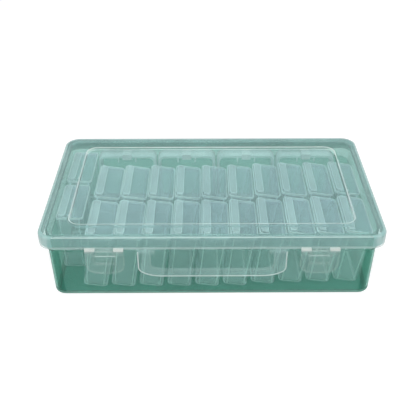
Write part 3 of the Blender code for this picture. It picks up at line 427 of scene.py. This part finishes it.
def build_lid_cover():
    """The lid's section runs from the panel's underside out to the skirt's inner face, round its
    lower edge, up the outer face and over the border to the sunk panel."""
    top = CASE_HEIGHT
    under, low = top - LID_WALL, top - LID_SKIRT
    wide, deep = RECESS_WIDTH + 2 * LID_WALL, RECESS_DEPTH + 2 * LID_WALL
    inner = (CASE_WIDTH - 2 * LID_WALL, CASE_DEPTH - 2 * LID_WALL, LID_CORNER - LID_WALL)
    outer = (CASE_WIDTH, CASE_DEPTH, LID_CORNER)
    recess = (RECESS_WIDTH, RECESS_DEPTH, RECESS_CORNER)
    flat, rim_height = 0.004, 0.0024
    rows = [
        (wide - flat, deep - flat, RECESS_CORNER, under - RECESS_DROP),
        (wide, deep, RECESS_CORNER + LID_WALL, under - RECESS_DROP),
        (wide, deep, RECESS_CORNER + LID_WALL, under),
        (*inner, under),
        (*inner, low),
        (*outer, low),
        (*outer, low + rim_height),
        (*outer, top),
        (RECESS_WIDTH + 0.0014, RECESS_DEPTH + 0.0022, RECESS_CORNER + 0.0009, top),
        (*recess, top),
        (*recess, top - RECESS_DROP),
        (RECESS_WIDTH - flat, RECESS_DEPTH - flat, RECESS_CORNER - flat / 2, top - RECESS_DROP),
    ]
    cuts = [0.0006, 0.0006, 0.0012, 0.0004, 0.0004, 0.0001, 0.0026, 0.0001, 0.0005, 0.0005]
    steps, around = 5, 12
    # rim is the pale band along the skirt's lower edge, a painted highlight.
    under_step, skirt, rim = (3, 0, 1), (2, 2, 6), (4, 3, 5)
    # lip carries a painted highlight round the sunk panel's edge.
    recess_step, lip = (3, 8, 9), (1, 7, 8)
    bands = bands_of(len(cuts), steps, under_step, skirt, rim, recess_step, lip)
    # Painted shade: the skirt's sides and rear take a deeper tint than its front.
    numbers = off_front(bands, around, [(2, 5)])
    # A painted highlight: one bright line in the middle of the rounded edge between the skirt's
    # front and the border
    top_edge, front = 1 + 6 * (steps + 1), 3 * (around + 1) - 1
    numbers[top_edge + 2, front] = 1
    shell = skin(rounded_rings(soften(rows, cuts, steps), around), numbers=numbers)
    finishes = [LID_PLASTIC, CASE_EDGE_HIGHLIGHT, SKIRT_PLASTIC, STEP_PLASTIC, RIM_HIGHLIGHT,
                LID_SIDE_PAINTED_SHADE]
    show("case_lid_cover", [shell], "case_lid", finishes, ["case_lid"])


def build_lid_rib():
    """The locating rib under the lid, round the outside of the tub's rim: a closed rectangular
    section of four rings."""
    gap, wall = 0.0006, 0.0012
    high, low = CASE_HEIGHT - LID_WALL + 0.0002, CASE_HEIGHT - LID_WALL - 0.0050
    inner = (TUB_WIDTH + 2 * gap, TUB_DEPTH + 2 * gap, TUB_CORNER + gap)
    outer = (inner[0] + 2 * wall, inner[1] + 2 * wall, inner[2] + wall)
    rows = [(*inner, high), (*inner, low), (*outer, low), (*outer, high)]
    rib = skin(rounded_rings(rows), endless=True)
    show("case_lid_rib", [rib], "case_lid", [STEP_PLASTIC])


def build_lid_fittings():
    """Blocks and rods make the middle knuckles of the rear hinge with their webs, and the ears of
    the latches, each with a white bar in it that is a painted highlight."""
    ear, bar = (0.0087, 0.0045, 0.0039), (0.0087, 0.0030, 0.0022)
    knuckle_length, web = 0.0132, (0.0132, 0.0022, 0.0055)
    fittings, ears, highlight_bars = [], [], []
    for side in (-1, 1):
        for end in (-1, 1):
            x = side * LATCH_X + end * 0.01225
            ears.append(soft_block(ear, (x, -0.08895, LATCH_Z), 0.0007))
            highlight_bars.append(soft_block(bar, (x, -0.0890, 0.0565), 0.0004))
        x = side * HINGE_X
        fittings.append(rod(KNUCKLE_RADIUS, knuckle_length, (x, HINGE_Y, HINGE_Z)))
        fittings.append(soft_block(web, (x, 0.0872, 0.0554), 0.0005))
    show("case_lid_knuckles", fittings, "case_lid", [FITTING_PLASTIC])
    show("latch_ears", ears, "case_lid", [EAR_PLASTIC])
    show("latch_ear_highlight_bars", highlight_bars, "case_lid", [EAR_BAR_HIGHLIGHT])


def window_outline(angle, half_width, half_height, centre_z):
    """A soft rectangle: the radius at an angle is ((|cos|/a)^n + (|sin|/b)^n)^(-1/n), n = 7."""
    n = 7.0
    across, up = np.cos(angle), np.sin(angle)
    reach = (np.abs(across / half_width) ** n + np.abs(up / half_height) ** n) ** (-1 / n)
    return np.stack([across * reach, up * reach + centre_z], axis=1)


def latch_outline(centre_z):
    """The latch's edge from the right of the window round anticlockwise: shoulder, neck,
    shoulder, straight sides, and a bowed foot whose edge is a superellipse of power 2.7."""
    half, neck, shoulder, top = 0.0166, 0.0075, -0.0045, -0.0002
    bow, drop, power = 0.0105, 0.0249, 2.7
    cut, nick = 0.0006, 0.0005
    turn = np.linspace(np.pi, 2 * np.pi, 60)
    across, down = np.cos(turn), np.sin(turn)
    foot = np.stack([
        half * np.sign(across) * np.abs(across) ** (2 / power),
        bow - drop - bow * np.abs(down) ** (2 / power),
    ], axis=1)
    corners = np.array([
        (half, centre_z), (half, shoulder - cut), (half - cut, shoulder),
        (neck + nick, shoulder), (neck, shoulder + nick), (neck, top), (-neck, top),
        (-neck, shoulder + nick), (-neck - nick, shoulder), (cut - half, shoulder),
        (-half, shoulder - cut),
    ])
    edge = np.concatenate([corners, foot])
    closed = np.concatenate([edge, edge[:1]])
    run = np.concatenate([[0.0], np.cumsum(np.linalg.norm(np.diff(closed, axis=0), axis=1))])
    even = np.linspace(0.0, run[-1], 240, endpoint=False)
    even = np.sort(np.concatenate([even, run[1:len(corners) + 1]]))
    return np.stack([np.interp(even, run, closed[:, 0]), np.interp(even, run, closed[:, 1])], 1)


def build_latch(name, side):
    """The latch's plate is a band between its window and its edge. A barrel and a thinner pin
    run through its neck, and a thin ridge crosses it above and below the window."""
    centre_z = -0.0096
    edge = latch_outline(centre_z)
    angle = np.arctan2(edge[:, 1] - centre_z, edge[:, 0])
    window = window_outline(angle, half_width=0.0092, half_height=0.0033, centre_z=centre_z)
    place = np.array([side * LATCH_X, LATCH_Y, LATCH_Z])
    plate = strap(window, edge, thickness=0.0020, radius=0.0005, endless=True)
    barrel, pin = rod(0.0017, 0.0150, place), rod(0.0010, 0.0240, place)
    shells = [moved(plate, place + (0.0, 0.0005, 0.0)), barrel, pin]
    for width, drop in ((0.0212, 0.0052), (0.0200, 0.0140)):
        ridge = (width, 0.0006, 0.0008)
        shells.append(soft_block(ridge, place + (0.0, -0.0006, -drop), 0.0002))
    # The plate's edges and the ridges' edges carry a painted highlight.
    show(name + "_plate", shells, name, [LATCH_PLASTIC, LATCH_EDGE_HIGHLIGHT], [name])


def build_handle():
    """Two lines make the strap: each has straight legs and two elliptic corners, centre plus
    (corner_x cos, corner_z sin) of an angle over 90 degrees. The strap's two front corners and a
    thin pale bead along the outer line on the front are painted highlights."""
    def line(half, low, corner_x, corner_z):
        turn = np.linspace(0.0, np.pi / 2, 24)
        left = np.stack([
            corner_x - half - corner_x * np.cos(turn), low + corner_z - corner_z * np.sin(turn),
        ], axis=1)
        right = left[::-1] * (-1.0, 1.0)
        return np.concatenate([[(-half, 0.0)], left, right, [(half, 0.0)]])

    outer = line(half=0.0646, low=-0.0267, corner_x=0.0210, corner_z=0.0098)
    inner = line(half=0.0533, low=-0.0197, corner_x=0.0120, corner_z=0.0048)
    place = np.array([0.0, HANDLE_Y, HANDLE_Z])
    plate = strap(outer, inner, thickness=0.0034, radius=0.0007, endless=False, one_rim=True)
    shells = [moved(plate, place)]
    for side in (-1, 1):
        shells.append(rod(0.0022, 0.0113, place + (side * 0.05895, 0.0, 0.0), 0.0004))
        shells.append(rod(0.0010, 0.0040, place + (side * 0.0520, 0.0, 0.0)))
    show("carry_handle_strap", shells, "carry_handle", [HANDLE_PLASTIC, HANDLE_EDGE_HIGHLIGHT, LATCH_EDGE_HIGHLIGHT],
         ["carry_handle"])
    inside = line(half=0.0637, low=-0.0258, corner_x=0.0201, corner_z=0.0089)
    bead = strap(outer, inside, thickness=0.0005, radius=0.0002, endless=False)
    bead = moved(bead, place + (0.0, -0.0018, 0.0))
    show("carry_handle_highlight_bead", [bead], "carry_handle", [HANDLE_EDGE_HIGHLIGHT])


# Small boxes

def small_box_cap():
    """The cap's section runs from inside its plug, round the plug and the flange, and over a
    raised border to the flat top."""
    base, top = CAP_BASE, CAP_BASE + CAP_THICKNESS
    wide, deep = BOX_TOP

    def ring(inset, at):
        return (wide - 2 * inset, deep - 2 * inset, max(BOX_CORNER - inset, 0.0012), at)

    plug_in, plug_out, plug_foot = 0.0024, 0.0015, base - 0.0035
    border, flat_top = 0.0009, top - 0.0005
    rows = [
        ring(0.0034, base), ring(plug_in, base), ring(plug_in, plug_foot),
        ring(plug_out, plug_foot), ring(plug_out, base), ring(0.0, base),
        ring(0.0, top), ring(border, top), ring(border, flat_top), ring(0.0020, flat_top),
    ]
    steps = 2
    # The flange and the raised border take a painted highlight.
    bands = bands_of(len(rows) - 2, steps, (1, 4, 6))
    return skin(rounded_rings(soften(rows, 0.0002, steps), 6), numbers=bands)


def flip_strip():
    """The raised flip strip has a round far end: a long rounded rectangle whose corner radius
    is nearly half its width, with a ledge round its top."""
    near, far = -BOX_TOP[1] / 2 + 0.0030, BOX_TOP[1] / 2 - 0.0014
    width, length, low = 0.0072, far - near, CAP_BASE + 0.0006
    top = CAP_BASE + CAP_THICKNESS + 0.0014

    def ring(inset, at):
        return (width - 2 * inset, length - 2 * inset, width / 2 - inset - 0.0003, at)

    ledge, flat_top = 0.0008, top - 0.0004
    rows = [
        ring(0.0003, low), ring(0.0, low), ring(0.0, top), ring(ledge, top),
        ring(ledge, flat_top), ring(0.0014, flat_top),
    ]
    x, steps = -BOX_TOP[0] / 2 + 0.0012 + width / 2, 2
    # The strip's top edge and ledge take a painted highlight.
    bands = bands_of(len(rows) - 2, steps, (1, 1, 2))
    strip = skin(rounded_rings(soften(rows, 0.0002, steps), 8), numbers=bands)
    strip = moved(strip, (x, (near + far) / 2, 0.0))
    post = (0.0012, 0.0018, 0.0028)
    posts = [
        soft_block(post, (x + side * 0.0023, near - 0.0012, top - 0.0006), 0.0003)
        for side in (-1, 1)
    ]
    hinge = rod(0.0005, 0.0034, (x, near - 0.0010, top - 0.0002))
    nub = soft_block((0.0030, 0.0010, 0.0008), (x, far - 0.0030, top + 0.0001), 0.0002)
    return [strip, *posts, hinge, nub]


def small_box_places():
    """(name, foot centre, lean) of each small box, from its CAD solid's box."""
    places = []
    for name in frame["bodies"]:
        if "_box_" in name and not name.startswith("tall"):
            low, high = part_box(name + "_body")
            lean = 0.0 if name.startswith("end") else LEAN
            mouth = BOX_TOP[0] / 2 * np.cos(lean) + BOX_HEIGHT * np.sin(lean)
            y = (low[1] + high[1]) / 2
            rise = BOX_HEIGHT * np.cos(lean) + BOX_TOP[0] / 2 * np.sin(lean)
            places.append((name, (high[0] - mouth, y, high[2] - rise), lean))
    return places


def build_small_boxes():
    """The same cup, cap and strip for each small box, leant and moved to its place."""
    # The rim, the foot's rounded edge and the corner lines take a painted highlight.
    body = cup(BOX_TOP, BOX_FOOT, BOX_HEIGHT, BOX_WALL, BOX_CORNER, foot_cut=0.0018,
               spans=[(1, 0, 0)], highlight_uprights=True)
    cap, strip = small_box_cap(), flip_strip()
    for name, place, lean in small_box_places():
        def put(*shells):
            return [moved(shell, place, lean) for shell in shells]

        cup_finish, cap_finish = [BOX_PLASTIC, BOX_EDGE_HIGHLIGHT], [CAP_PLASTIC, CAP_EDGE_HIGHLIGHT]
        show(name + "_cup", put(body), name, cup_finish, [name + "_body"])
        show(name + "_cap", put(cap), name, cap_finish, [name + "_lid"])
        strip_finish = [STRIP_PLASTIC, STRIP_HIGHLIGHT_AND_CLASP]
        show(name + "_strip", put(*strip), name, strip_finish)


# Tall boxes

def tray(depth):
    """Half of a tall box as an open tray, its face down and its mouth at the top."""
    mouth = (TALL_WIDTH, TALL_HEIGHT)
    face = (TALL_WIDTH - 0.0012, TALL_HEIGHT - 0.0012)
    # The outer wall and the rim take a painted highlight.
    outer_wall = (1, 0, 2)
    return cup(mouth, face, depth, TALL_WALL, TALL_CORNER, foot_cut=0.0010, lip=0.0002,
               spans=[outer_wall], border=2)


def build_tall_boxes():
    """Each tall box is two trays on edge, mouth to mouth. Its clasp is a tab over the top and
    down the front, between two rails."""
    body_depth, lid_depth, gap = 0.0092, 0.0062, 0.0003
    finishes = [TALL_PLASTIC, TALL_EDGE_HIGHLIGHT, TALL_BORDER]
    for name in frame["bodies"]:
        if not name.startswith("tall"):
            continue
        low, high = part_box(name + "_body")
        x, z = (low[0] + high[0]) / 2, (low[2] + high[2]) / 2
        top, parting = z + TALL_HEIGHT / 2, low[1]
        face = parting - gap - lid_depth
        rear = moved(tray(body_depth), (x, parting + body_depth, z), stand=1)
        front = moved(tray(lid_depth), (x, face, z), stand=-1)
        clasp = [
            soft_block((0.0094, 0.0118, 0.0012), (x, face + 0.0049, top + 0.0009), 0.0003),
            soft_block((0.0094, 0.0016, 0.0055), (x, face - 0.0002, top - 0.0019), 0.0004),
        ]
        for side in (-1, 1):
            rail = (x + side * 0.0088, face - 0.0002, top - 0.0048)
            clasp.append(soft_block((0.0012, 0.0016, 0.0052), rail, 0.0003))
        show(name + "_tray", [rear], name, finishes, [name + "_body"])
        show(name + "_cover", [front], name, finishes,
             [name + "_lid"])
        show(name + "_clasp", clasp, name, [STRIP_HIGHLIGHT_AND_CLASP])


# Floor, light and camera

def ray_kinds(tree, first, *others):
    """1 for the kinds of ray named and 0 for the rest: the largest of Light Path's outputs."""
    path = tree.nodes.new("ShaderNodeLightPath")
    result = path.outputs[first]
    for name in others:
        either = tree.nodes.new("ShaderNodeMath")
        either.operation = "MAXIMUM"
        tree.links.new(result, either.inputs[0])
        tree.links.new(path.outputs[name], either.inputs[1])
        result = either.outputs[0]
    return result


def pale_ground():
    """A wide pale floor that shows almost white and keeps the boxes' soft shadow."""
    reach, drop, glow_strength = 6.0, 0.0004, 0.62
    mesh = bpy.data.meshes.new("floor")
    corners = np.array([(-1, -1, 0), (1, -1, 0), (1, 1, 0), (-1, 1, 0)]) * (reach, reach, 1.0)
    mesh.from_pydata((corners - (0.0, 0.0, drop)).tolist(), [], [[0, 1, 2, 3]])
    finish = bpy.data.materials.new("pale floor")
    finish.use_nodes = True
    tree = finish.node_tree
    tree.nodes.remove(tree.nodes["Principled BSDF"])
    link = tree.links.new
    matt = tree.nodes.new("ShaderNodeBsdfDiffuse")
    matt.inputs["Color"].default_value = (0.55, 0.55, 0.55, 1.0)
    level = tree.nodes.new("ShaderNodeMath")
    level.operation = "MULTIPLY"
    level.inputs[1].default_value = glow_strength
    link(ray_kinds(tree, "Is Camera Ray", "Is Transmission Ray"), level.inputs[0])
    glow = tree.nodes.new("ShaderNodeEmission")
    link(level.outputs[0], glow.inputs["Strength"])
    both = tree.nodes.new("ShaderNodeAddShader")
    link(matt.outputs[0], both.inputs[0])
    link(glow.outputs[0], both.inputs[1])
    link(both.outputs[0], tree.nodes["Material Output"].inputs["Surface"])
    mesh.materials.append(finish)
    floor = bpy.data.objects.new("floor", mesh)
    bpy.context.scene.collection.objects.link(floor)


def white_surround():
    """A white world: full strength for the camera, glass and gloss, softer as a light."""
    world = bpy.data.worlds.new("surround")
    bpy.context.scene.world = world
    world.use_nodes = True
    tree = world.node_tree
    seen = ray_kinds(tree, "Is Camera Ray", "Is Glossy Ray", "Is Transmission Ray")
    level = tree.nodes.new("ShaderNodeMapRange")
    level.inputs["To Min"].default_value = 0.60
    level.inputs["To Max"].default_value = 1.0
    tree.links.new(seen, level.inputs["Value"])
    background = tree.nodes["Background"]
    background.inputs["Color"].default_value = (1.0, 1.0, 1.0, 1.0)
    tree.links.new(level.outputs["Result"], background.inputs["Strength"])


def soft_lamp(name, place, power):
    """A round lamp that points at the middle of the case's underside."""
    data = bpy.data.lights.new(name, "AREA")
    data.shape = "DISK"
    data.size = 0.9
    data.energy = power
    lamp = bpy.data.objects.new(name, data)
    lamp.location = place
    lamp.rotation_euler = (-Vector(place)).to_track_quat("-Z", "Y").to_euler()
    bpy.context.scene.collection.objects.link(lamp)


def camera_as_in_photo():
    """The photograph's viewpoint: 34.3 degrees down, a hair to the left, a 60 mm lens."""
    data = bpy.data.cameras.new("camera")
    data.sensor_width = 36.0
    data.lens = 60.58
    camera = bpy.data.objects.new("camera", data)
    camera.location = (-0.00665, -0.56155, 0.42165)
    down, aside = np.radians(34.28), np.radians(0.35)
    ahead = Vector((np.sin(aside) * np.cos(down), np.cos(aside) * np.cos(down), -np.sin(down)))
    camera.rotation_euler = ahead.to_track_quat("-Z", "Y").to_euler()
    bpy.context.scene.collection.objects.link(camera)
    bpy.context.scene.camera = camera


def light_and_view():
    """Many bounces, because a ray crosses dozens of clear walls before it leaves the case."""
    scene = bpy.context.scene
    scene.view_settings.view_transform = "Standard"
    scene.cycles.max_bounces = 40
    scene.cycles.transmission_bounces = 40
    scene.cycles.transparent_max_bounces = 64
    scene.cycles.glossy_bounces = 8
    pale_ground()
    white_surround()
    soft_lamp("key lamp", (-0.6, -0.8, 1.2), power=7.0)
    soft_lamp("fill lamp", (0.9, -0.5, 1.0), power=4.0)
    camera_as_in_photo()


def finish_hinge_pins():
    """The two hinge pins keep their CAD shape and get the finish of clear plastic."""
    for name in ("hinge_pin_left", "hinge_pin_right"):
        for place in frame["nodes"][name].material_slots:
            place.material = PIN_PLASTIC


build_tub()
build_lid_cover()
build_lid_rib()
build_lid_fittings()
build_latch("latch_left", -1)
build_latch("latch_right", 1)
build_handle()
build_small_boxes()
build_tall_boxes()
finish_hinge_pins()
light_and_view()
